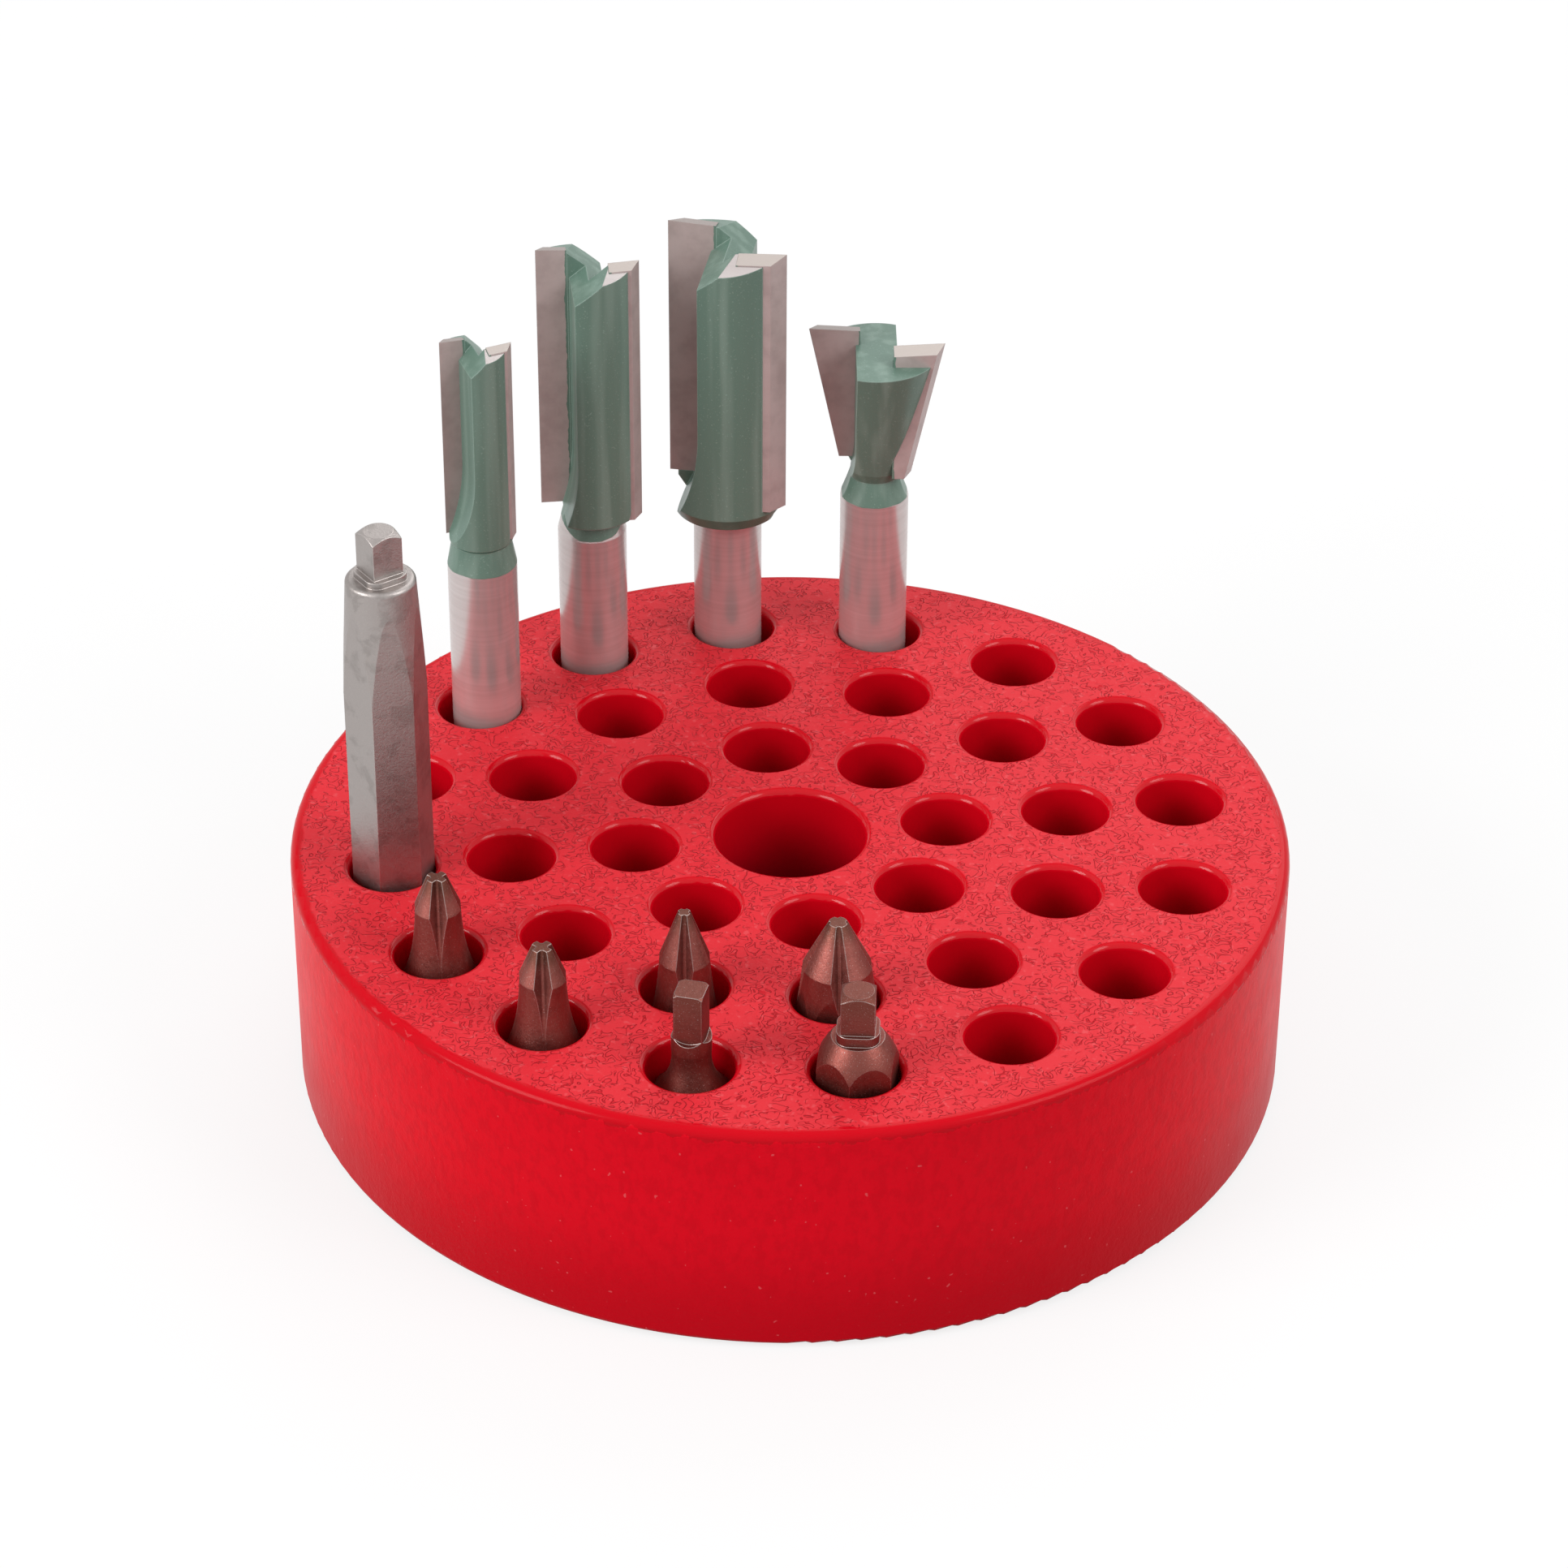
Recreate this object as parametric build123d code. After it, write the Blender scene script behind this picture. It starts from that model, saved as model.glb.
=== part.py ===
from build123d import *
import math
import os

# A round magnetic holder for quarter-inch screwdriver and router bits, with eleven bits standing in it.
# Sizes are in millimetres and angles in degrees. +Z is up.
# The origin is on the table, under the middle of the holder. The holder's front is towards -Y.

os.makedirs("parts", exist_ok=True)

# Holder body
holder_diameter = 88.9
holder_height = 22.2
rim_radius = 0.8
foot_radius = 0.5

# Sockets in the top face
socket_diameter = 7.6
socket_depth = 17.4
socket_lead_in = 0.64
centre_socket_diameter = 13.4
centre_socket_depth = 17.4
centre_lead_in = 0.68
first_socket_angle = 189.1
outer_ring_margin = 8.95
outer_ring_count = 16
middle_ring_step = 10.5
middle_ring_count = 12
inner_ring_step = 11.0
inner_ring_count = 8

# Base, from the table up: pad, magnet carrier, keeper plate
recess_wall = 4.45
pad_thickness = 1.0
pad_proud = 0.4
pad_edge_radius = 0.3
carrier_thickness = 2.2
keeper_thickness = 0.8
base_clearance = 0.15
magnet_diameter = 12.0
magnet_thickness = 1.6
magnet_count = 6
magnet_ring_step = 18.9
pocket_clearance = 0.1

# Base screws, drawn at the core of their threads
screw_core_diameter = 2.0
screw_length = 8.0
screw_head_diameter = 4.0
screw_head_depth = 1.2
screw_count = 4
screw_ring_step = 9.4
screw_tip_clearance = 0.5
screw_clearance = 0.3
pilot_clearance = 0.05
driver_slot_width = 0.6
driver_slot_depth = 0.6

# Hexagonal bit steel
hex_across_flats = 6.35
power_bit_length = 51.6
shank_chamfer = 0.6
notch_height = 9.2
notch_half_width = 0.85
insert_notch_depth = 0.35
power_notch_depth = 0.95

# Cross-point drives
flute_angle = 92.0
flute_root_radius = 0.22
phillips_point = dict(
    length=25.1, tip=0.9, shoulder=2.1, cone_angle=21.5, waist=2.35, above_notch=3.85, root=0.42,
    root_slope=14.0)
slim_phillips_point = dict(
    length=24.95, tip=0.55, shoulder=2.25, cone_angle=20.0, waist=2.6, above_notch=1.9, root=0.3,
    root_slope=13.0)
large_phillips_point = dict(
    length=24.95, tip=0.8, shoulder=3.0, cone_angle=26.5, waist=3.25, above_notch=5.4, root=0.55,
    root_slope=19.0)

# Square drives
square_across = 2.86
square_top_radius = 1.3
square_top_drop = 0.5
insert_square_bit_length = 25.4
insert_square_length = 3.7
insert_collar_width = 3.6
insert_collar_height = 0.9
dome_top_radius = 2.25
dome_middle_radius = 3.15
dome_height = 2.8
power_square_length = 3.9
power_collar_width = 3.9
power_collar_height = 0.6
collar_corner_radius = 1.1
power_shoulder_radius = 3.05
power_shoulder_rounding = 0.4
power_taper_length = 11.0
small_square_bit_length = 25.0
small_square_across = 2.5
small_square_length = 4.8
small_square_chamfer = 0.2
small_neck_radius = 1.72
small_neck_length = 5.9
small_flare_length = 10.6
small_flare_radius = 1.95
small_flat_end_radius = 2.0

# Router bits
shank_diameter = 6.35
router_foot_chamfer = 0.5
tip_stand = 0.1
end_relief = 14.0
end_dish = 3.0
small_straight = dict(
    cut_diameter=6.35, length=55.3, cut_bottom=35.8, shank_end=32.8, neck=(2.73, 35.2),
    head_diameter=5.8, head_bottom=35.4, face_offset=1.03, tip_thickness=1.0, tip_width=2.35,
    back_relief=0.1, half_web=1.25, run_out_radius=18.0, run_out_height=43.1,
    chamfer_start=0.65, chamfer_slope=46.0)
medium_straight = dict(
    cut_diameter=9.525, length=59.1, cut_bottom=33.0, shank_end=31.0, neck=(2.7, 33.0),
    head_diameter=8.7, head_bottom=33.1, face_offset=1.44, tip_thickness=1.25, tip_width=2.8,
    back_relief=0.15, half_web=1.5, run_out_radius=20.0, run_out_height=39.5,
    chamfer_start=2.1, chamfer_slope=38.5)
large_straight = dict(
    cut_diameter=12.7, length=58.5, cut_bottom=32.5, shank_end=29.8, neck=(4.9, 30.7),
    head_diameter=11.3, head_bottom=32.0, face_offset=2.45, tip_thickness=1.6, tip_width=4.4,
    back_relief=0.2, half_web=1.9, run_out_radius=20.0, run_out_height=40.4,
    chamfer_start=1.5, chamfer_slope=38.5)
dovetail = dict(
    cut_diameter=12.7, cut_bottom_diameter=7.2, length=48.8, cut_bottom=35.4, shank_end=32.4,
    neck=(2.45, 34.6), head_bottom=35.6, head_bottom_diameter=5.8, head_top=47.1, head_top_diameter=11.3,
    face_offset=1.4, tip_thickness=1.5, tip_inner=1.5, back_relief=0.7, half_web=1.9,
    run_out_radius=12.0, run_out_height=37.5)

# Where each bit stands: the ring, the socket's number from the first, how far the bit is turned, and how far
# it stands off the socket's axis to the right
bit_places = {
    "power_bit": ("outer", 0, 15.5, 0.1),
    "phillips_bit_a": ("outer", 1, 50.0, 0.12),
    "phillips_bit_b": ("outer", 2, 48.5, 0.12),
    "small_square_bit": ("outer", 3, 76.4, 0.12),
    "large_square_bit": ("outer", 4, 18.6, 0.12),
    "slim_phillips_bit": ("middle", 2, 46.5, 0.0),
    "large_phillips_bit": ("middle", 3, 49.1, 0.12),
    "dovetail_bit": ("outer", 11, 0.8, -0.6),
    "large_straight_bit": ("outer", 12, -8.6, -0.45),
    "medium_straight_bit": ("outer", 13, 7.2, 0.05),
    "small_straight_bit": ("outer", 14, 21.0, 0.6),
}
power_square_turn = 19.7
large_square_turn = 68.5

# Worked out from the sizes above
body_bottom = pad_proud
top_face = body_bottom + holder_height
carrier_bottom = pad_thickness
keeper_bottom = carrier_bottom + carrier_thickness
recess_roof = keeper_bottom + keeper_thickness
socket_floor = top_face - socket_depth
hex_corner_radius = hex_across_flats / math.sqrt(3)
notch_top = notch_height + notch_half_width
recess_diameter = holder_diameter - 2 * recess_wall
plate_diameter = recess_diameter - 2 * base_clearance
magnet_ring_radius = recess_diameter / 2 - magnet_ring_step
screw_ring_radius = recess_diameter / 2 - screw_ring_step
# Each screw stands halfway between two sockets of the outer ring
screw_first_angle = first_socket_angle + 180 / outer_ring_count
outer_ring_radius = holder_diameter / 2 - outer_ring_margin
middle_ring_radius = outer_ring_radius - middle_ring_step
inner_ring_radius = middle_ring_radius - inner_ring_step
# Cutting tools reach this far past the solid that they cut
overshoot = 1.0
rings = {
    "outer": (outer_ring_radius, outer_ring_count),
    "middle": (middle_ring_radius, middle_ring_count),
    "inner": (inner_ring_radius, inner_ring_count),
}


def save(shape, name):
    export_step(shape, "parts/" + name + ".step")


def turned(*steps):
    # A solid of revolution about Z. Each step is a point (radius, height), or an arc as its middle and end.
    edges = []
    at = steps[0]
    for step in steps[1:]:
        if isinstance(step[0], tuple):
            edges.append(ThreePointArc(at, step[0], step[1]))
            at = step[1]
        else:
            edges.append(Line(at, step))
            at = step
    edges.append(Line(at, steps[0]))
    return revolve(Plane.XZ * make_face(edges), Axis.Z)


def upright(sketch, bottom, top):
    return extrude(Pos(0, 0, bottom) * sketch, top - bottom)


def on_circle(radius, angle, height):
    turn = math.radians(angle)
    return Pos(radius * math.cos(turn), radius * math.sin(turn), height)


def socket_place(ring, number, height):
    radius, count = rings[ring]
    return on_circle(radius, first_socket_angle + 360 * number / count, height)


def socket_tool(diameter, depth, lead_in):
    # The hollow of a socket, hung from the top face, with a rounded mouth
    wall = diameter / 2
    middle = lead_in * (1 - math.sqrt(0.5))
    return turned(
        (0, -depth),
        (wall, -depth),
        (wall, -lead_in),
        ((wall + middle, -middle), (wall + lead_in, 0)),
        (wall + lead_in, overshoot),
        (0, overshoot),
    )


def screw_places(height):
    step = 360 / screw_count
    angles = [screw_first_angle + step * i for i in range(screw_count)]
    return [on_circle(screw_ring_radius, angle, height) for angle in angles]


def magnet_places(height):
    step = 360 / magnet_count
    angles = [first_socket_angle + step * i for i in range(magnet_count)]
    return [on_circle(magnet_ring_radius, angle, height) for angle in angles]


def holder_body():
    disc = upright(Circle(holder_diameter / 2), body_bottom, top_face)
    disc = fillet(disc.edges().sort_by(Axis.Z)[-1], rim_radius)
    disc = fillet(disc.edges().sort_by(Axis.Z)[0], foot_radius)
    recess = upright(Circle(recess_diameter / 2), body_bottom - overshoot, recess_roof)
    socket = socket_tool(socket_diameter, socket_depth, socket_lead_in)
    centre = socket_tool(centre_socket_diameter, centre_socket_depth, centre_lead_in)
    tools = [recess, Pos(0, 0, top_face) * centre]
    for ring, (radius, count) in rings.items():
        tools += [socket_place(ring, number, top_face) * socket for number in range(count)]
    pilot_top = carrier_bottom + screw_length + screw_tip_clearance
    pilot = upright(Circle(screw_core_diameter / 2 + pilot_clearance), 0, pilot_top - recess_roof)
    tools += [place * pilot for place in screw_places(recess_roof)]
    return disc - tools


def keeper_plate():
    plate = upright(Circle(plate_diameter / 2), keeper_bottom, recess_roof)
    hole = Cylinder(screw_core_diameter / 2 + screw_clearance, 2 * (keeper_thickness + overshoot))
    return plate - [place * hole for place in screw_places(keeper_bottom)]


def magnet(place):
    return place * upright(Circle(magnet_diameter / 2), -magnet_thickness, 0)


def screw_head_cone(growth):
    # The countersunk head, or its seat when it is grown by a clearance
    rim = screw_head_diameter / 2 + growth
    stem = screw_core_diameter / 2 + growth
    return turned((0, 0), (rim, 0), (stem, screw_head_depth), (0, screw_head_depth))


def magnet_carrier():
    plate = upright(Circle(plate_diameter / 2), carrier_bottom, keeper_bottom)
    pocket = upright(Circle(magnet_diameter / 2 + pocket_clearance), -magnet_thickness, overshoot)
    hole = Cylinder(screw_core_diameter / 2 + screw_clearance, 2 * (carrier_thickness + overshoot))
    tools = [place * pocket for place in magnet_places(keeper_bottom)]
    tools += [place * (hole + screw_head_cone(screw_clearance)) for place in screw_places(carrier_bottom)]
    return plate - tools


def base_screw():
    shaft = upright(Circle(screw_core_diameter / 2), 0, screw_length)
    slot = Box(screw_head_diameter, driver_slot_width, 2 * driver_slot_depth)
    return shaft + screw_head_cone(0) - slot


def base_pad():
    pad = upright(Circle(plate_diameter / 2), 0, pad_thickness)
    return fillet(pad.edges().sort_by(Axis.Z)[0], pad_edge_radius)


def hex_steel(length, notch_depth, *nose):
    # Hexagonal steel, turned at the foot, round the notch that a driver grips, and along the nose
    corner = hex_corner_radius
    notch_bottom = (corner, notch_height - notch_half_width)
    notch = ((corner - notch_depth, notch_height), (corner, notch_top))
    foot = [(0, 0), (corner - shank_chamfer, 0), (corner, shank_chamfer)]
    outline = turned(*foot, notch_bottom, notch, *nose)
    return upright(RegularPolygon(hex_across_flats / 2, 6, major_radius=False), 0, length) & outline


def cross_bit(point):
    # A cross point: the cone of the point, a waist that flares to the hexagon, and four flutes
    length = point["length"]
    cone = (point["shoulder"] - point["tip"]) / math.tan(math.radians(point["cone_angle"]))
    flare_bottom = notch_top + point["above_notch"]
    waist_height = (length - cone + flare_bottom) / 2
    bar = hex_steel(
        length,
        insert_notch_depth,
        (hex_corner_radius, flare_bottom),
        ((point["waist"], waist_height), (point["shoulder"], length - cone)),
        (point["tip"], length),
        (0, length),
    )
    reach = 2 * hex_across_flats
    spread = reach * math.tan(math.radians(flute_angle / 2))
    groove = Polygon((0, 0), (reach, -spread), (reach, spread))
    groove = fillet(groove.vertices().sort_by(Axis.X)[0], flute_root_radius)
    flute = Rot(0, -point["root_slope"], 0) * upright(groove, -length, length)
    flute = Pos(point["root"], 0, length) * flute
    return bar - [Rot(0, 0, 45 + 90 * i) * flute for i in range(4)]


def square_drive(length, height, collar_width, collar_height):
    # The square of a drive on its rounded collar, up to the bit's full length
    drive_bottom = length - height
    collar = RectangleRounded(collar_width, collar_width, collar_corner_radius)
    corner = square_across / math.sqrt(2)
    crown = turned(
        (0, 0),
        (corner, 0),
        (corner, length - square_top_drop),
        (square_top_radius, length),
        (0, length),
    )
    drive = upright(Rectangle(square_across, square_across), drive_bottom - collar_height, length) & crown
    return drive + upright(collar, drive_bottom - collar_height, drive_bottom)


def power_bit():
    length = power_bit_length
    shoulder = length - power_square_length - power_collar_height
    rounding = power_shoulder_rounding
    bulge = rounding * (1 - math.sqrt(0.5))
    bar = hex_steel(
        length,
        power_notch_depth,
        (hex_corner_radius, shoulder - power_taper_length),
        (power_shoulder_radius, shoulder - rounding),
        ((power_shoulder_radius - bulge, shoulder - bulge), (power_shoulder_radius - rounding, shoulder)),
        (0, shoulder),
    )
    drive = square_drive(length, power_square_length, power_collar_width, power_collar_height)
    return bar + Rot(0, 0, power_square_turn) * drive


def large_square_bit():
    length = insert_square_bit_length
    shoulder = length - insert_square_length - insert_collar_height
    bar = hex_steel(
        length,
        insert_notch_depth,
        (hex_corner_radius, shoulder - dome_height),
        ((dome_middle_radius, shoulder - dome_height / 2), (dome_top_radius, shoulder)),
        (0, shoulder),
    )
    drive = square_drive(length, insert_square_length, insert_collar_width, insert_collar_height)
    return bar + Rot(0, 0, large_square_turn) * drive


def small_square_bit():
    # A round neck with four flats milled on its end. The cutter leaves a round lower end on each flat.
    length = small_square_bit_length
    flare_middle = length - (small_neck_length + small_flare_length) / 2
    bar = hex_steel(
        length,
        insert_notch_depth,
        (hex_corner_radius, length - small_flare_length),
        ((small_flare_radius, flare_middle), (small_neck_radius, length - small_neck_length)),
        (small_neck_radius, length - small_square_chamfer),
        (small_neck_radius - small_square_chamfer, length),
        (0, length),
    )
    end_middle = length - small_square_length + small_flat_end_radius
    window = Pos(0, end_middle) * Circle(small_flat_end_radius)
    window += Pos(0, length) * Rectangle(2 * small_flat_end_radius, 2 * (length - end_middle))
    cut = extrude(Plane.YZ * window, hex_across_flats)
    cut = Pos(small_square_across / 2, 0, 0) * cut
    return bar - [Rot(0, 0, 90 * i) * cut for i in range(4)]


def half_turn_pair(shape):
    return [shape, Rot(0, 0, 180) * shape]


def gullet(bit):
    # The chip space in front of one tip: straight above, and run out below in the curve of the wheel
    reach = bit["cut_diameter"]
    top = bit["length"] + overshoot
    wall = -bit["half_web"]
    depth = reach + bit["face_offset"]
    middle = bit["face_offset"] - depth / 2
    run_out = bit["run_out_height"]
    straight = Pos(wall - reach / 2, middle, (run_out + top) / 2) * Box(reach, depth, top - run_out)
    wheel = Rot(90, 0, 0) * Cylinder(bit["run_out_radius"], depth)
    wheel = Pos(wall - bit["run_out_radius"], middle, run_out) * wheel
    return straight + wheel


def edge_place(radius, offset):
    return math.sqrt(radius ** 2 - offset ** 2)


def router_shank(bit):
    # The turned outline of every router bit, from its foot to the top of its neck
    radius = shank_diameter / 2
    return [(0, 0), (radius - router_foot_chamfer, 0), (radius, router_foot_chamfer),
            (radius, bit["shank_end"]), bit["neck"]]


def above_end(bit, height):
    # Everything above the ground end of the +X tip and of the steel behind it. The end's highest point
    # is the outer corner of the cutting edge. From there it falls away backwards and towards the axis.
    face = -bit["face_offset"]
    edge = edge_place(bit["cut_diameter"] / 2, face)
    size = 3 * bit["cut_diameter"]
    block = Box(size, size, size, align=(Align.CENTER, Align.MAX, Align.MIN))
    return Pos(edge, face, height) * Rot(end_relief, -end_dish, 0) * block


def above_chamfer(bit, height):
    # Everything above the chamfer on the steel behind the +X tip and on the web, which falls towards -X
    size = 3 * bit["cut_diameter"]
    block = Box(size, size, size, align=(Align.MAX, Align.MAX, Align.MIN))
    return Pos(bit["chamfer_start"], bit["face_offset"], height) * Rot(0, -bit["chamfer_slope"], 0) * block


def straight_tip(bit):
    # The carbide on the +X side. Its cutting face looks along +Y, and its outer side falls away behind
    # the edge.
    face = -bit["face_offset"]
    back = face - bit["tip_thickness"]
    radius = bit["cut_diameter"] / 2
    edge = edge_place(radius, face)
    outer = edge_place(radius - bit["back_relief"], back)
    inner = edge - bit["tip_width"]
    outline = Polygon((inner, back), (outer, back), (edge, face), (inner, face), align=None)
    return upright(outline, bit["cut_bottom"], bit["length"]) - above_end(bit, bit["length"])


def straight_tip_seat(bit):
    face = -bit["face_offset"]
    inner = edge_place(bit["cut_diameter"] / 2, face) - bit["tip_width"]
    height = bit["length"] + overshoot - bit["cut_bottom"]
    seat = Box(bit["cut_diameter"], bit["tip_thickness"], height, align=(Align.MIN, Align.MAX, Align.MIN))
    return Pos(inner, face, bit["cut_bottom"]) * seat


def straight_body(bit):
    radius = bit["head_diameter"] / 2
    top = bit["length"] - tip_stand
    blank = turned(*router_shank(bit), (radius, bit["head_bottom"]), (radius, top), (0, top))
    cuts = half_turn_pair(gullet(bit)) + half_turn_pair(straight_tip_seat(bit))
    cuts += half_turn_pair(above_end(bit, top)) + half_turn_pair(above_chamfer(bit, top))
    return blank - cuts


def dovetail_tip(bit):
    # The carbide on the +X side, wider at the top, with its outer side falling away behind the edge
    face = -bit["face_offset"]
    wide = edge_place(bit["cut_diameter"] / 2, face)
    narrow = edge_place(bit["cut_bottom_diameter"] / 2, face)
    inner = bit["tip_inner"]

    def outline(set_back, place):
        points = [(inner, bit["cut_bottom"]), (narrow - set_back, bit["cut_bottom"]),
                  (wide - set_back, bit["length"]), (inner, bit["length"])]
        return Plane.XZ.offset(-place) * Polygon(*points, align=None)

    plate = loft([outline(0, face), outline(bit["back_relief"], face - bit["tip_thickness"])], ruled=True)
    return plate - above_end(bit, bit["length"])


def dovetail_body(bit):
    blank = turned(
        *router_shank(bit),
        (bit["head_bottom_diameter"] / 2, bit["head_bottom"]),
        (bit["head_top_diameter"] / 2, bit["head_top"]),
        (0, bit["head_top"]),
    )
    height = bit["length"] + overshoot - bit["cut_bottom"]
    seat = Box(bit["cut_diameter"], bit["tip_thickness"], height, align=(Align.MIN, Align.MAX, Align.MIN))
    seat = Pos(bit["tip_inner"], -bit["face_offset"], bit["cut_bottom"]) * seat
    return blank - half_turn_pair(gullet(bit)) - half_turn_pair(seat)


def stand(shape, name):
    # Stands a bit, modelled on the origin, on the floor of its socket
    ring, number, turn, aside = bit_places[name]
    return Pos(aside, 0, 0) * socket_place(ring, number, socket_floor) * Rot(0, 0, turn) * shape


save(holder_body(), "holder_body")
save(keeper_plate(), "keeper_plate")
save(magnet_carrier(), "magnet_carrier")
save(base_pad(), "base_pad")
for number, place in enumerate(magnet_places(keeper_bottom), start=1):
    save(magnet(place), "magnet_" + str(number))
save(Compound([place * base_screw() for place in screw_places(carrier_bottom)]), "base_screws")

screwdriver_bits = {
    "power_bit": power_bit(),
    "phillips_bit_a": cross_bit(phillips_point),
    "phillips_bit_b": cross_bit(phillips_point),
    "slim_phillips_bit": cross_bit(slim_phillips_point),
    "large_phillips_bit": cross_bit(large_phillips_point),
    "small_square_bit": small_square_bit(),
    "large_square_bit": large_square_bit(),
}
for name, shape in screwdriver_bits.items():
    save(stand(shape, name), name)

router_bits = {
    "small_straight_bit": (straight_body(small_straight), straight_tip(small_straight)),
    "medium_straight_bit": (straight_body(medium_straight), straight_tip(medium_straight)),
    "large_straight_bit": (straight_body(large_straight), straight_tip(large_straight)),
    "dovetail_bit": (dovetail_body(dovetail), dovetail_tip(dovetail)),
}
for name, (body, tip) in router_bits.items():
    save(stand(body, name), name + "_body")
    for number, half in enumerate(half_turn_pair(tip), start=1):
        save(stand(half, name), name + "_tip_" + str(number))
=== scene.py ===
import math

import bpy
from mathutils import Matrix, Vector


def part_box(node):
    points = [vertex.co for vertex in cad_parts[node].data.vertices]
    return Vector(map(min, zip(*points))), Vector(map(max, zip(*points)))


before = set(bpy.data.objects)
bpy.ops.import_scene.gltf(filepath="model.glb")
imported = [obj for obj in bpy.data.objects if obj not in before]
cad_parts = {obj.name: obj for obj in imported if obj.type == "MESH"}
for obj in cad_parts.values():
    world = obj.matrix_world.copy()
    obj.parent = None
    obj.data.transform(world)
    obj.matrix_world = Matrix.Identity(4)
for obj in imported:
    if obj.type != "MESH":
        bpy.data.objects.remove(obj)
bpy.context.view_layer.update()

mm = 0.001
scene = bpy.context.scene
holderLow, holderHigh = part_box("holder_body")
topFace = holderHigh.z
holderRadius = holderHigh.x


def colour(red, green, blue):
    # A colour as it shows on a screen, 0 to 255, made linear
    shares = [value / 255 for value in (red, green, blue)]
    return [s / 12.92 if s <= 0.04045 else ((s + 0.055) / 1.055) ** 2.4 for s in shares] + [1.0]


# Node helpers, for materials and for groups alike
def setInput(tree, socket, value):
    if isinstance(value, bpy.types.NodeSocket):
        tree.links.new(value, socket)
    else:
        socket.default_value = value


def addNode(tree, kind, inputs=None, **settings):
    made = tree.nodes.new(kind)
    for key, value in settings.items():
        setattr(made, key, value)
    for key, value in (inputs or {}).items():
        setInput(tree, made.inputs[key], value)
    return made


def maths(tree, operation, first, second=0.0, clamp=False):
    made = addNode(tree, "ShaderNodeMath", {0: first, 1: second}, operation=operation, use_clamp=clamp)
    return made.outputs[0]


def plus(tree, first, second):
    return maths(tree, "ADD", first, second)


def minus(tree, first, second):
    return maths(tree, "SUBTRACT", first, second)


def times(tree, first, second):
    return maths(tree, "MULTIPLY", first, second)


def swing(tree, value, size, middle=0.5):
    # How far the value is from its middle, times size
    return times(tree, minus(tree, value, middle), size)


def step(tree, value, start, end):
    # 0 up to start, 1 from end on, smooth between
    return addNode(tree, "ShaderNodeMapRange", {"Value": value, "From Min": start, "From Max": end},
                   interpolation_type="SMOOTHSTEP").outputs["Result"]


def below(tree, height, start, end):
    # 0 at start under the holder's top face, 1 at end
    return step(tree, height, topFace - start, topFace - end)


def inward(tree, radius, start, end):
    # 0 at start inside the holder's outer wall, 1 at end
    return step(tree, radius, holderRadius - start, holderRadius - end)


def mixColour(tree, share, first, second):
    made = addNode(tree, "ShaderNodeMix", {0: share, 6: first, 7: second}, data_type="RGBA")
    return made.outputs[2]


def mixValue(tree, share, first, second):
    return addNode(tree, "ShaderNodeMix", {0: share, 2: first, 3: second}).outputs[0]


def noise(tree, vector, scale, detail=2.0, roughness=0.5, distortion=0.0):
    # Scales are per metre, except in the turning group, whose vector is scaled already
    return addNode(tree, "ShaderNodeTexNoise", {
        "Vector": vector, "Scale": scale, "Detail": detail, "Roughness": roughness, "Distortion": distortion,
    }).outputs["Fac"]


def split(tree, vector):
    return addNode(tree, "ShaderNodeSeparateXYZ", {0: vector}).outputs


def join(tree, x, y, z):
    return addNode(tree, "ShaderNodeCombineXYZ", {0: x, 1: y, 2: z}).outputs[0]


def startGroup(name, inputs, outputs):
    group = bpy.data.node_groups.new(name, "ShaderNodeTree")
    for label, kind, value in inputs:
        socket = group.interface.new_socket(label, in_out="INPUT", socket_type=kind)
        if value is not None:
            socket.default_value = value
    for label, kind in outputs:
        group.interface.new_socket(label, in_out="OUTPUT", socket_type=kind)
    return group, group.nodes.new("NodeGroupInput").outputs, group.nodes.new("NodeGroupOutput").inputs


def useGroup(tree, group, **inputs):
    return addNode(tree, "ShaderNodeGroup", inputs, node_tree=group).outputs


grainSettings = {
    "coarse": {"detail": 3.0, "roughness": 0.6},
    "fine": {"detail": 1.0},
    "fineScale": 3.1,
    "fineShare": 0.5,
    "specks": (0.66, 0.74),
}
grainMiddle = 0.75  # the grain's height on average


def makeGrain():
    # Fine isotropic grain in two sizes: moulded plastic, blasted steel, sintered carbide
    use = grainSettings
    group, given, put = startGroup(
        "grain", [("Vector", "NodeSocketVector", None), ("Size", "NodeSocketFloat", 0.4 * mm)],
        [("Height", "NodeSocketFloat"), ("Specks", "NodeSocketFloat")])
    scale = maths(group, "DIVIDE", 1.0, given["Size"])
    coarse = noise(group, given["Vector"], scale, **use["coarse"])
    fine = noise(group, given["Vector"], times(group, scale, use["fineScale"]), **use["fine"])
    group.links.new(plus(group, coarse, times(group, fine, use["fineShare"])), put["Height"])
    group.links.new(step(group, fine, *use["specks"]), put["Specks"])
    return group


turningSettings = {
    "slant": 0.02,  # how fast the rings change round the shank
    "lines": {"scale": 1.0, "detail": 3.0, "roughness": 0.7},
    "streaks": {"scale": 0.17},
}


def makeTurning():
    # Rings that a lathe or grinding wheel leaves round a vertical axis, as a height and as streaks
    use = turningSettings
    group, given, put = startGroup(
        "turning", [("Vector", "NodeSocketVector", None), ("Pitch", "NodeSocketFloat", 0.1 * mm)],
        [("Height", "NodeSocketFloat"), ("Streaks", "NodeSocketFloat")])
    at = split(group, given["Vector"])
    scale = maths(group, "DIVIDE", 1.0, given["Pitch"])
    across = times(group, plus(group, at["X"], at["Y"]), times(group, scale, use["slant"]))
    line = join(group, across, 0.0, times(group, at["Z"], scale))
    group.links.new(noise(group, line, **use["lines"]), put["Height"])
    group.links.new(noise(group, line, **use["streaks"]), put["Streaks"])
    return group


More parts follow.
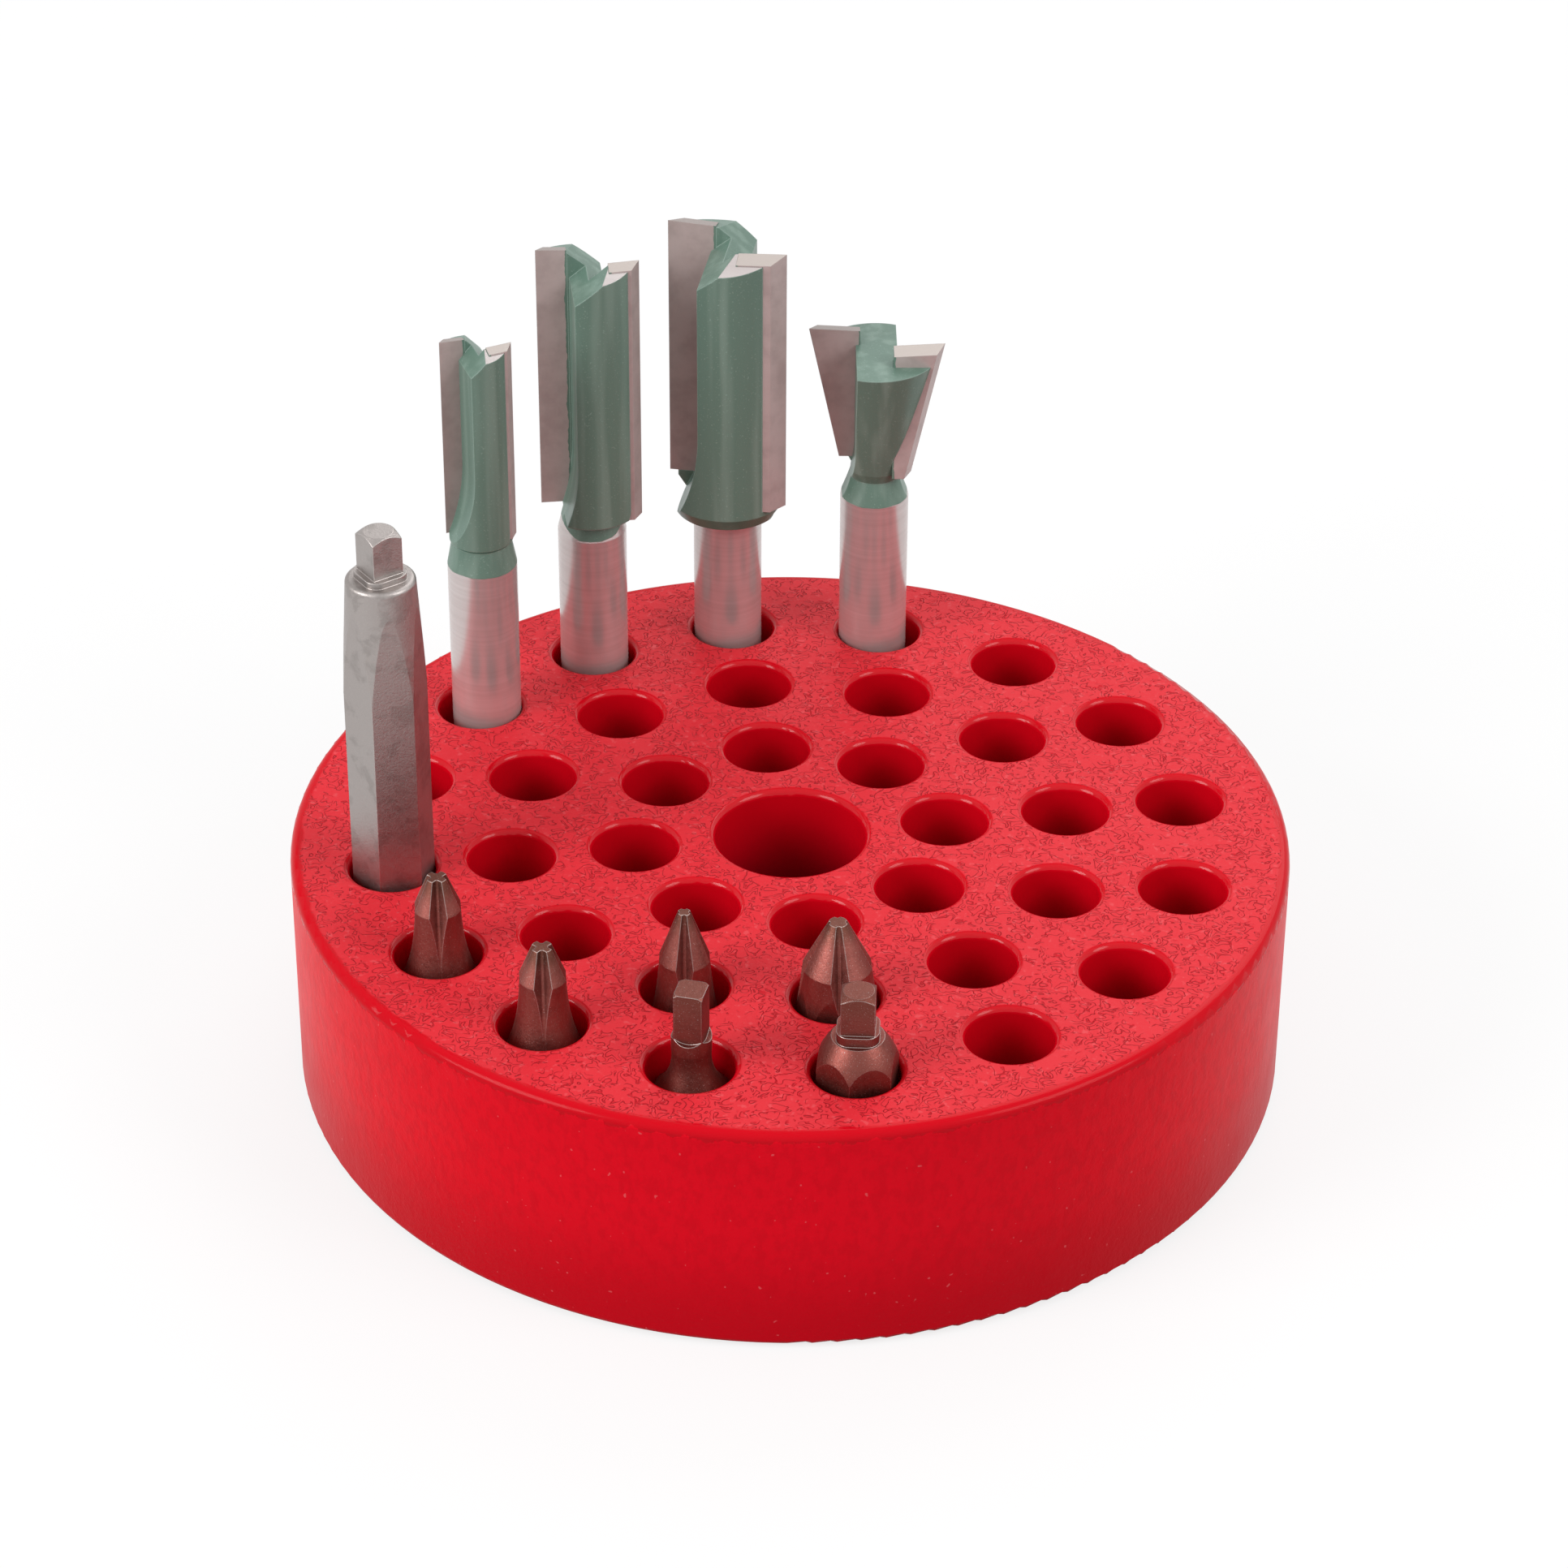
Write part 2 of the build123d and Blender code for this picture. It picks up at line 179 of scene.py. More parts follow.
patchSettings = {
    "cloud": {"detail": 5.0, "roughness": 0.62, "distortion": 0.4},
    "barest": 0.75,  # the threshold for no cover
    "coverShare": 0.5,
    "softness": 0.14,
}


def makePatches():
    # Broad uneven patches with a threshold: handling marks, paler and darker places
    use = patchSettings
    group, given, put = startGroup(
        "patches", [("Vector", "NodeSocketVector", None), ("Size", "NodeSocketFloat", 6 * mm),
                    ("Cover", "NodeSocketFloat", 0.4)],
        [("Mask", "NodeSocketFloat")])
    cloud = noise(group, given["Vector"], maths(group, "DIVIDE", 1.0, given["Size"]), **use["cloud"])
    low = minus(group, use["barest"], times(group, given["Cover"], use["coverShare"]))
    group.links.new(step(group, cloud, low, plus(group, low, use["softness"])), put["Mask"])
    return group


roundingSettings = {
    "samples": 6,
    "edge": (0.01, 0.12),  # how much the softened surface turns away where an edge shows
}


def makeRounding():
    # Softens sharp edges in the shading, and puts out a mask of them for bright worn edges
    use = roundingSettings
    group, given, put = startGroup(
        "rounding", [("Radius", "NodeSocketFloat", 0.1 * mm)],
        [("Normal", "NodeSocketVector"), ("Edge", "NodeSocketFloat")])
    soft = addNode(group, "ShaderNodeBevel", {"Radius": given["Radius"]}, samples=use["samples"]).outputs[0]
    plain = addNode(group, "ShaderNodeNewGeometry").outputs["Normal"]
    match = addNode(group, "ShaderNodeVectorMath", {0: soft, 1: plain},
                    operation="DOT_PRODUCT").outputs["Value"]
    group.links.new(soft, put["Normal"])
    group.links.new(step(group, minus(group, 1.0, match), *use["edge"]), put["Edge"])
    return group


grain, turning, patches, rounding = makeGrain(), makeTurning(), makePatches(), makeRounding()
print("shared effects made")


def startMaterial(name, **settings):
    material = bpy.data.materials.new(name)
    material.use_nodes = True
    shader = material.node_tree.nodes["Principled BSDF"]
    for key, value in settings.items():
        shader.inputs[key.replace("_", " ")].default_value = value
    return material, material.node_tree, shader


def objectPlace(tree):
    return addNode(tree, "ShaderNodeTexCoord").outputs["Object"]


def bump(tree, height, distance, normal=None):
    made = addNode(tree, "ShaderNodeBump", {"Strength": 1.0, "Distance": distance, "Height": height})
    if normal is not None:
        tree.links.new(normal, made.inputs["Normal"])
    return made.outputs[0]


def dress(nodeNames, material):
    for name in nodeNames:
        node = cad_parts[name]
        node.data.materials.clear()
        node.data.materials.append(material)


# The holder. Pairs are where a zone begins and where it is full. Depths are under the top face.
holderLook = {
    # The top's red is paler than the side's, partly for its textured skin and partly as painted sheen
    "topRedAndSheen": (218, 44, 54),
    "paintedGrooveShade": (200, 28, 40),
    "sideRed": (232, 9, 32),
    "sideMottle": (222, 8, 30),
    "paintedShadeLowRed": (198, 4, 24),
    "mouthRed": (203, 4, 24),
    "boreShadeRed": (120, 4, 26),
    "paleScuffAndGlint": (236, 120, 124),
    "specular": 0.08,
    "coatRoughness": 0.1,
    # The flat top inside its smooth rim
    "topSkin": (0.03 * mm, 0.01 * mm),
    "rimBand": (0.85 * mm, 1.15 * mm),
    "rimWaves": {"scale": 350.0, "detail": 3.0},
    "rimWander": 0.9 * mm,
    # The side
    "sideBand": (0.5 * mm, 0.2 * mm),
    "sideDepth": (0.75 * mm, 1.0 * mm),
    "sideWander": 1.6 * mm,
    "sideStretch": (1, 1, 0.6),
    "mottle": {"scale": 1100.0, "detail": 3.0, "roughness": 0.6},
    "mottleRange": (0.4, 0.65),
    "mottleRelief": 0.24,
    "sideGrain": 0.45 * mm,
    "sideGrainRelief": 0.2,
    "lowFrom": 9 * mm,
    # The socket mouths and walls
    "insideRim": (2 * mm, 3 * mm),
    "wallDepth": (0.0, 1.0 * mm),
    "boreShadeDepth": (0.0, 15 * mm),
    "mouthTop": (0.02 * mm, 0.1 * mm),
    "mouthFoot": (3 * mm, 1 * mm),
    "mouthShine": 0.3,
    # The worm-like grooves
    "reliefDepth": 0.13 * mm,
    "worms": {"scale": 1 / (1.1 * mm), "detail": 1.0, "distortion": 0.7},
    "wormLevels": 5.2,
    "wormWidth": (0.12, 0.0),
    "wormBreaks": {"scale": 600.0, "detail": 1.0},
    "wormBreakRange": (0.34, 0.44),
    "swell": {"scale": 1500.0, "roughness": 0.6},
    "swellRelief": 0.35,
    "flow": {"scale": 260.0},
    "flowRelief": 0.25,
    # Wear
    "scuffSize": 5 * mm,
    "scuffCover": 0.25,
    "scuffRange": (0.45, 0.65),
    "scuffShare": 0.35,
    "glintRange": (0.58, 0.7),
    "glintShare": 0.22,
    "chips": {"scale": 2400.0, "detail": 0.0},
    "chipFrom": 0.84,
    "chipFromLow": 0.79,
    "chipFull": 0.87,
    "chipShare": 0.4,
    # Roughness
    "smoothRough": 0.16,
    "topRough": 0.42,
    "sideRough": 0.38,
    "roughWander": 0.12,
}


def holderPlastic():
    look = holderLook
    material, tree, shader = startMaterial(
        "redPlastic", Specular_IOR_Level=look["specular"], Coat_Roughness=look["coatRoughness"])
    place = objectPlace(tree)
    at = split(tree, place)
    radius = addNode(tree, "ShaderNodeVectorMath", {0: join(tree, at["X"], at["Y"], 0.0)},
                     operation="LENGTH").outputs["Value"]

    # The moulded texture stops at the rim in a slightly wavy line
    wander = swing(tree, noise(tree, place, **look["rimWaves"]), look["rimWander"])
    isFlat = times(tree, below(tree, at["Z"], *look["topSkin"]),
                   inward(tree, plus(tree, radius, wander), *look["rimBand"]))
    upright = addNode(tree, "ShaderNodeMapping", {"Vector": place, "Scale": look["sideStretch"]}).outputs[0]
    mottle = noise(tree, upright, **look["mottle"])
    wavyHeight = plus(tree, at["Z"], swing(tree, mottle, look["sideWander"]))
    nearWall = inward(tree, radius, *look["sideBand"])
    isSide = times(tree, nearWall, below(tree, wavyHeight, *look["sideDepth"]))
    amongSockets = inward(tree, radius, *look["insideRim"])
    isInside = times(tree, below(tree, at["Z"], *look["wallDepth"]), amongSockets)
    boreShade = below(tree, at["Z"], *look["boreShadeDepth"])
    lowDown = step(tree, at["Z"], topFace - look["lowFrom"], holderLow.z)

    # Worm-like grooves: level lines of a slow noise, broken up by another
    levels = times(tree, noise(tree, place, **look["worms"]), look["wormLevels"])
    line = step(tree, maths(tree, "PINGPONG", levels, 0.5), *look["wormWidth"])
    broken = step(tree, noise(tree, place, **look["wormBreaks"]), *look["wormBreakRange"])
    grooves = times(tree, line, broken)
    swell = noise(tree, place, **look["swell"])
    flow = noise(tree, place, **look["flow"])
    topHeight = minus(tree, times(tree, swell, look["swellRelief"]), grooves)
    fine = useGroup(tree, grain, Vector=place, Size=look["sideGrain"])
    sideHeight = plus(tree, times(tree, fine["Height"], look["sideGrainRelief"]),
                      times(tree, mottle, look["mottleRelief"]))
    height = plus(tree, times(tree, topHeight, isFlat), times(tree, sideHeight, isSide))
    height = plus(tree, height, times(tree, flow, look["flowRelief"]))

    # Painted highlight: small pale glints painted into the top's colour; the same pale colour serves the
    # real scuffs and chips
    glints = times(tree, step(tree, swell, *look["glintRange"]), look["glintShare"])
    flat = mixColour(tree, glints, colour(*look["topRedAndSheen"]), colour(*look["paleScuffAndGlint"]))
    # Painted shade: the worm grooves are painted a darker red, standing in for the shade that falls in them
    flat = mixColour(tree, grooves, flat, colour(*look["paintedGrooveShade"]))
    base = mixColour(tree, isFlat, colour(*look["mouthRed"]), flat)
    mottled = step(tree, mottle, *look["mottleRange"])
    side = mixColour(tree, mottled, colour(*look["sideRed"]), colour(*look["sideMottle"]))
    # Painted shade: the side is painted a deeper red towards the bottom, where less light reaches
    side = mixColour(tree, lowDown, side, colour(*look["paintedShadeLowRed"]))
    base = mixColour(tree, isSide, base, side)
    # Painted shade: the socket walls are painted darker red with depth, where shade falls
    base = mixColour(tree, times(tree, isInside, boreShade), base, colour(*look["boreShadeRed"]))

    scuffs = useGroup(tree, patches, Vector=place, Size=look["scuffSize"], Cover=look["scuffCover"])["Mask"]
    scuffs = times(tree, scuffs, times(tree, isFlat, step(tree, swell, *look["scuffRange"])))
    base = mixColour(tree, times(tree, scuffs, look["scuffShare"]), base, colour(*look["paleScuffAndGlint"]))
    chipFrom = mixValue(tree, lowDown, look["chipFrom"], look["chipFromLow"])
    chips = step(tree, noise(tree, place, **look["chips"]), chipFrom, look["chipFull"])
    chips = times(tree, times(tree, chips, isSide), look["chipShare"])
    base = mixColour(tree, chips, base, colour(*look["paleScuffAndGlint"]))

    rough = mixValue(tree, isFlat, look["smoothRough"], look["topRough"])
    rough = mixValue(tree, isSide, rough, look["sideRough"])
    rough = plus(tree, rough, swing(tree, flow, look["roughWander"]))
    # The rounded mouths shine
    mouths = times(tree, below(tree, at["Z"], *look["mouthTop"]), amongSockets)
    shine = times(tree, mouths, below(tree, at["Z"], *look["mouthFoot"]))
    tree.links.new(base, shader.inputs["Base Color"])
    tree.links.new(rough, shader.inputs["Roughness"])
    tree.links.new(times(tree, shine, look["mouthShine"]), shader.inputs["Coat Weight"])
    tree.links.new(bump(tree, height, look["reliefDepth"]), shader.inputs["Normal"])
    return material


# The steel of the screwdriver bits. The tip zone is from the top face up.
steelLook = {
    "bright": (206, 198, 194),
    "tipBrown": (78, 54, 40),
    "tipZone": (5.4 * mm, 7.4 * mm),
    "edgeRadius": 0.12 * mm,
    "edgeShare": 0.6,
    "edgePolish": 0.12,
    "blotchSize": 2.2 * mm,
    "blotchCover": 0.5,
    "blotchShare": 0.35,
    "speckShare": 0.3,
    "roughWander": 0.25,
    "reliefDepth": 0.02 * mm,
}
bitSteels = {
    "powerSteel": {"body": (164, 157, 154), "dark": (122, 117, 113), "size": 0.22 * mm, "roughness": 0.42,
                   "darkTip": 0.0, "bits": ["power_bit"]},
    "crossSteel": {"body": (138, 80, 73), "dark": (106, 60, 54), "size": 0.3 * mm, "roughness": 0.46,
                   "darkTip": 0.6,
                   "bits": ["phillips_bit_a", "phillips_bit_b", "slim_phillips_bit", "large_phillips_bit"]},
    "squareSteel": {"body": (124, 70, 63), "dark": (96, 54, 48), "size": 0.3 * mm, "roughness": 0.46,
                    "darkTip": 0.25, "bits": ["small_square_bit", "large_square_bit"]},
}


def blastedSteel(name):
    # Bit steel with a blasted grain, darker blotches, bright worn edges and a tip darkened by hardening
    look, own = steelLook, bitSteels[name]
    material, tree, shader = startMaterial(name, Metallic=1.0)
    place = objectPlace(tree)
    soft = useGroup(tree, rounding, Radius=look["edgeRadius"])
    fine = useGroup(tree, grain, Vector=place, Size=own["size"])
    blotches = useGroup(tree, patches, Vector=place, Size=look["blotchSize"], Cover=look["blotchCover"])
    blotches = times(tree, blotches["Mask"], look["blotchShare"])
    base = mixColour(tree, blotches, colour(*own["body"]), colour(*own["dark"]))
    tipStart, tipFull = look["tipZone"]
    tip = step(tree, split(tree, place)["Z"], topFace + tipStart, topFace + tipFull)
    base = mixColour(tree, times(tree, tip, own["darkTip"]), base, colour(*look["tipBrown"]))
    base = mixColour(tree, times(tree, fine["Specks"], look["speckShare"]), base, colour(*look["bright"]))
    base = mixColour(tree, times(tree, soft["Edge"], look["edgeShare"]), base, colour(*look["bright"]))
    rough = plus(tree, own["roughness"], swing(tree, fine["Height"], look["roughWander"], grainMiddle))
    rough = minus(tree, rough, times(tree, soft["Edge"], look["edgePolish"]))
    tree.links.new(base, shader.inputs["Base Color"])
    tree.links.new(rough, shader.inputs["Roughness"])
    tree.links.new(bump(tree, fine["Height"], look["reliefDepth"], soft["Normal"]), shader.inputs["Normal"])
    return material


# Heights are from the floor of the socket, and sideLift is how much higher the enamel ends at the shank's
# two sides. The turn is each bit's own, about its axis, in degrees.
routerBits = {
    "small_straight_bit": {"enamelFrom": 32.8 * mm, "sideLift": 0.0, "turn": 21.0, "bareEnds": True},
    "medium_straight_bit": {"enamelFrom": 31.1 * mm, "sideLift": 2.0 * mm, "turn": 7.2, "bareEnds": True},
    "large_straight_bit": {"enamelFrom": 29.75 * mm, "sideLift": 0.0, "turn": -8.6, "bareEnds": True},
    "dovetail_bit": {"enamelFrom": 32.4 * mm, "sideLift": 0.0, "turn": 0.8, "bareEnds": False},
}
# Zones of a router bit: where each begins and where it is full
lookingUp = (0.88, 0.94)
lookingDown = (-0.3, -0.7)
frontHalf = (-0.2 * mm, 0.2 * mm)


def bitAxis(name):
    # Each bit is the same after half a turn, so its axis runs through the middle of its box
    low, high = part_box(name + "_body")
    return Vector(((low.x + high.x) / 2, (low.y + high.y) / 2, low.z))


def onBit(tree, place, name):
    # The bit's own coordinates: its axis upright at the origin, X along its two cutting edges
    axis, turn = bitAxis(name), math.radians(routerBits[name]["turn"])
    own = addNode(tree, "ShaderNodeMapping", {"Vector": place, "Location": axis, "Rotation": (0, 0, turn)},
                  vector_type="TEXTURE").outputs[0]
    return split(tree, own)


def facing(tree, start, end):
    # How far the surface looks up: 1 where it is straight up, -1 where it is straight down
    normal = addNode(tree, "ShaderNodeNewGeometry").outputs["Normal"]
    return step(tree, split(tree, normal)["Z"], start, end)


enamelLook = {
    "enamel": (99, 126, 113),
    "enamelWorn": (166, 188, 176),
    "enamelPaintedUnderside": (42, 120, 98),
    "ground": (212, 205, 203),
    "groundDark": (162, 146, 144),
    "specular": 0.3,
    "shankRadius": 3.175 * mm,
    "edgeRadius": 0.16 * mm,
    "edgeShare": 0.7,
    # The enamel's lower edge
    "wobble": {"scale": 700.0},
    "wobbleHeight": 0.3 * mm,
    "liftPower": 4.0,
    "edgeSoftness": 0.03 * mm,
    # The enamel
    "grainSize": 0.5 * mm,
    "speckShare": 0.3,
    "runs": {"scale": 600.0},
    "runSquash": 0.05,
    "runRange": (0.45, 0.7),
    "runShare": 0.25,
    "enamelRough": 0.36,
    # The ground shank
    "linePitch": 0.06 * mm,
    "streakShare": 0.5,
    "steelRough": 0.2,
    "lineRough": 0.08,
    "lineRelief": 0.03,
    "steelMetallic": 0.55,
    "reliefDepth": 0.012 * mm,
}


def enamelledSteel(name):
    # A ground shank under an enamelled head. The end of a straight bit is ground bare.
    look, own = enamelLook, routerBits[name]
    material, tree, shader = startMaterial(name + "Steel", Specular_IOR_Level=look["specular"])
    place = objectPlace(tree)
    at = onBit(tree, place, name)
    soft = useGroup(tree, rounding, Radius=look["edgeRadius"])
    lines = useGroup(tree, turning, Vector=place, Pitch=look["linePitch"])
    wobble = swing(tree, noise(tree, place, **look["wobble"]), look["wobbleHeight"])
    aside = maths(tree, "POWER", maths(tree, "DIVIDE", at["X"], look["shankRadius"]), look["liftPower"])
    height = minus(tree, plus(tree, at["Z"], wobble), times(tree, aside, own["sideLift"]))
    start, softness = own["enamelFrom"], look["edgeSoftness"]
    painted = step(tree, height, start - softness, start + softness)
    if own["bareEnds"]:
        bare = times(tree, facing(tree, *lookingUp), step(tree, at["X"], *frontHalf))
        painted = maths(tree, "SUBTRACT", painted, bare, clamp=True)

    fine = useGroup(tree, grain, Vector=place, Size=look["grainSize"])
    stretched = join(tree, at["X"], at["Y"], times(tree, at["Z"], look["runSquash"]))
    runs = step(tree, noise(tree, stretched, **look["runs"]), *look["runRange"])
    worn = colour(*look["enamelWorn"])
    paint = mixColour(tree, times(tree, fine["Specks"], look["speckShare"]), colour(*look["enamel"]), worn)
    paint = mixColour(tree, times(tree, runs, look["runShare"]), paint, worn)
    paint = mixColour(tree, times(tree, soft["Edge"], look["edgeShare"]), paint, worn)
    # Painted light: faces that look down are painted a greener enamel to cancel the red light bounced up
    # from the holder
    paint = mixColour(tree, facing(tree, *lookingDown), paint, colour(*look["enamelPaintedUnderside"]))
    streaks = times(tree, lines["Streaks"], look["streakShare"])
    steel = mixColour(tree, streaks, colour(*look["ground"]), colour(*look["groundDark"]))
    steelRough = plus(tree, look["steelRough"], times(tree, lines["Height"], look["lineRough"]))
    relief = mixValue(tree, painted, times(tree, lines["Height"], look["lineRelief"]), fine["Height"])
    tree.links.new(mixColour(tree, painted, steel, paint), shader.inputs["Base Color"])
    tree.links.new(mixValue(tree, painted, look["steelMetallic"], 0.0), shader.inputs["Metallic"])
    tree.links.new(mixValue(tree, painted, steelRough, look["enamelRough"]), shader.inputs["Roughness"])
    tree.links.new(bump(tree, relief, look["reliefDepth"], soft["Normal"]), shader.inputs["Normal"])
    return material


carbideLook = {
    "carbide": (186, 170, 167),
    "carbideDark": (170, 154, 151),
    "groundEndAndHighlight": (186, 176, 170),
    "backEndShade": (152, 140, 136),
    "edgeRadius": 0.06 * mm,
    "edgeShare": 0.7,
    "grainSize": 0.25 * mm,
    "speckShare": 0.15,
    "cloud": {"scale": 420.0, "detail": 3.0, "roughness": 0.6},
    "cloudRange": (0.35, 0.75),
    "ragged": {"scale": 900.0, "detail": 3.0},
    "raggedWidth": 0.5 * mm,
    "overrun": (0.22 * mm, 0.14 * mm),  # from the tip's inner edge outwards
    "sideMetallic": 0.15,
    "endMetallic": 0.5,
    "rough": 0.42,
    "roughWander": 0.2,
    "reliefDepth": 0.006 * mm,
}


def tipInnerEdge(name):
    # How far from the bit's axis its carbide begins, along the line through its two cutting edges
    turnBack = Matrix.Rotation(-math.radians(routerBits[name]["turn"]), 3, "Z")
    axis, tip = bitAxis(name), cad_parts[name + "_tip_1"].data
    return min(abs((turnBack @ (vertex.co - axis)).x) for vertex in tip.vertices)


def groundCarbide(name):
    # Dull sides, a ground end painted brighter and more metallic on the front tip than on the back tip, and
    # enamel that has run over the inner edge of the tip. The two ends are alike, so the front's brightness
    # is a painted highlight and the back's dullness painted shade
    look = carbideLook
    material, tree, shader = startMaterial(name + "Carbide")
    place = objectPlace(tree)
    at = onBit(tree, place, name)
    soft = useGroup(tree, rounding, Radius=look["edgeRadius"])
    fine = useGroup(tree, grain, Vector=place, Size=look["grainSize"])
    isEnd = facing(tree, *lookingUp)
    # Painted highlight on the front tip's ground end, painted shade on the back tip's end
    highlitFront = step(tree, at["X"], *frontHalf)
    end = mixColour(tree, highlitFront, colour(*look["backEndShade"]), colour(*look["groundEndAndHighlight"]))
    clouds = step(tree, noise(tree, place, **look["cloud"]), *look["cloudRange"])
    base = mixColour(tree, clouds, colour(*look["carbide"]), colour(*look["carbideDark"]))
    base = mixColour(tree, times(tree, soft["Edge"], look["edgeShare"]), base, colour(*look["groundEndAndHighlight"]))
    base = mixColour(tree, times(tree, fine["Specks"], look["speckShare"]), base, colour(*look["groundEndAndHighlight"]))
    ragged = swing(tree, noise(tree, place, **look["ragged"]), look["raggedWidth"])
    outward = plus(tree, maths(tree, "ABSOLUTE", at["X"]), ragged)
    inner = tipInnerEdge(name)
    bareFrom, coveredTo = look["overrun"]
    overrun = times(tree, step(tree, outward, inner + bareFrom, inner + coveredTo), minus(tree, 1.0, isEnd))
    base = mixColour(tree, overrun, base, colour(*enamelLook["enamel"]))
    base = mixColour(tree, isEnd, base, end)
    sideMetallic = times(tree, minus(tree, 1.0, overrun), look["sideMetallic"])
    metallic = mixValue(tree, times(tree, isEnd, highlitFront), sideMetallic, look["endMetallic"])
    rough = plus(tree, look["rough"], swing(tree, fine["Height"], look["roughWander"], grainMiddle))
    tree.links.new(base, shader.inputs["Base Color"])
    tree.links.new(metallic, shader.inputs["Metallic"])
    tree.links.new(rough, shader.inputs["Roughness"])
    tree.links.new(bump(tree, fine["Height"], look["reliefDepth"], soft["Normal"]), shader.inputs["Normal"])
    return material


# The hidden base: plated magnets, plate and screws
platedLook = {
    "magnetNickel": {"body": (196, 193, 186), "roughness": 0.18},
    "zincPlate": {"body": (176, 180, 186), "roughness": 0.32},
    "screwZinc": {"body": (182, 184, 188), "roughness": 0.26},
    "hazeSize": 4 * mm,
    "hazeCover": 0.5,
    "hazeShare": 0.5,
    "hazeDarkness": 0.7,
    "hazeRough": 0.15,
    "grainSize": 0.6 * mm,
    "reliefDepth": 0.008 * mm,
}


def platedSteel(name):
    look, own = platedLook, platedLook[name]
    material, tree, shader = startMaterial(name, Metallic=1.0)
    place = objectPlace(tree)
    haze = useGroup(tree, patches, Vector=place, Size=look["hazeSize"], Cover=look["hazeCover"])["Mask"]
    fine = useGroup(tree, grain, Vector=place, Size=look["grainSize"])
    body = colour(*own["body"])
    darker = [look["hazeDarkness"] * share for share in body[:3]] + [1.0]
    hazy = mixColour(tree, times(tree, haze, look["hazeShare"]), body, darker)
    rough = plus(tree, own["roughness"], times(tree, haze, look["hazeRough"]))
    tree.links.new(hazy, shader.inputs["Base Color"])
    tree.links.new(rough, shader.inputs["Roughness"])
    tree.links.new(bump(tree, fine["Height"], look["reliefDepth"]), shader.inputs["Normal"])
    return material


# The hidden base: the carrier's moulding and the rubber pad
mouldingLook = {
    "blackPlastic": {"body": (26, 26, 28), "roughness": 0.45, "grainSize": 0.4 * mm, "relief": 0.02 * mm},
    "padRubber": {"body": (22, 22, 22), "roughness": 0.75, "grainSize": 0.7 * mm, "relief": 0.06 * mm},
    "dustSize": 9 * mm,
    "dustCover": 0.35,
    "dustShare": 0.4,
    "dustPaler": 26,
    "dustRough": 0.1,
}


def darkMoulding(name):
    look, own = mouldingLook, mouldingLook[name]
    material, tree, shader = startMaterial(name)
    place = objectPlace(tree)
    fine = useGroup(tree, grain, Vector=place, Size=own["grainSize"])
    dust = useGroup(tree, patches, Vector=place, Size=look["dustSize"], Cover=look["dustCover"])["Mask"]
    paler = colour(*[value + look["dustPaler"] for value in own["body"]])
    dusty = mixColour(tree, times(tree, dust, look["dustShare"]), colour(*own["body"]), paler)
    rough = plus(tree, own["roughness"], times(tree, dust, look["dustRough"]))
    tree.links.new(dusty, shader.inputs["Base Color"])
    tree.links.new(rough, shader.inputs["Roughness"])
    tree.links.new(bump(tree, fine["Height"], own["relief"]), shader.inputs["Normal"])
    return material


dress(["holder_body"], holderPlastic())
magnetNames = [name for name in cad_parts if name.startswith("magnet_") and name != "magnet_carrier"]
dress(magnetNames, platedSteel("magnetNickel"))
dress(["keeper_plate"], platedSteel("zincPlate"))
dress(["base_screws"], platedSteel("screwZinc"))
dress(["magnet_carrier"], darkMoulding("blackPlastic"))
dress(["base_pad"], darkMoulding("padRubber"))
print("holder dressed")

for steelName, steel in bitSteels.items():
    dress(steel["bits"], blastedSteel(steelName))
for bitName in routerBits:
    dress([bitName + "_body"], enamelledSteel(bitName))
    dress([bitName + "_tip_1", bitName + "_tip_2"], groundCarbide(bitName))
print("bits dressed")

studio = {
    "floorSize": 6.0,
    "floorGrey": (122, 122, 122),
    "floorRough": 0.9,
    "floorLift": 0.78,
    "skyLight": 0.6,
    "lampTarget": (0, 0, 0.02),
    "lamps": {
        "leftLamp": {"place": (-0.8, -0.45, 0.5), "size": 0.6, "power": 6.5},
        "rightLamp": {"place": (0.75, -0.35, 0.65), "size": 0.6, "power": 4.0},
        "backLamp": {"place": (0.3, 0.8, 0.75), "size": 0.8, "power": 3.0},
    },
}
white = (1, 1, 1, 1)


def seenDirectly(tree):
    # 1 for what the camera, a reflection or a refraction sees, 0 for light on its way to the object
    path = addNode(tree, "ShaderNodeLightPath").outputs
    mirrored = maths(tree, "MAXIMUM", path["Is Glossy Ray"], path["Is Transmission Ray"])
    return maths(tree, "MAXIMUM", path["Is Camera Ray"], mirrored)


def makeFloor():
    bpy.ops.mesh.primitive_plane_add(size=studio["floorSize"], location=(0, 0, 0))
    floor = bpy.context.object
    floor.name = "floor"
    material, tree, shader = startMaterial(
        "paleFloor", Roughness=studio["floorRough"], Specular_IOR_Level=0.0)
    shader.inputs["Base Color"].default_value = colour(*studio["floorGrey"])
    # Light of its own where the camera or a reflection sees it, so that the lit floor is white
    shader.inputs["Emission Color"].default_value = white
    tree.links.new(times(tree, seenDirectly(tree), studio["floorLift"]), shader.inputs["Emission Strength"])
    floor.data.materials.append(material)


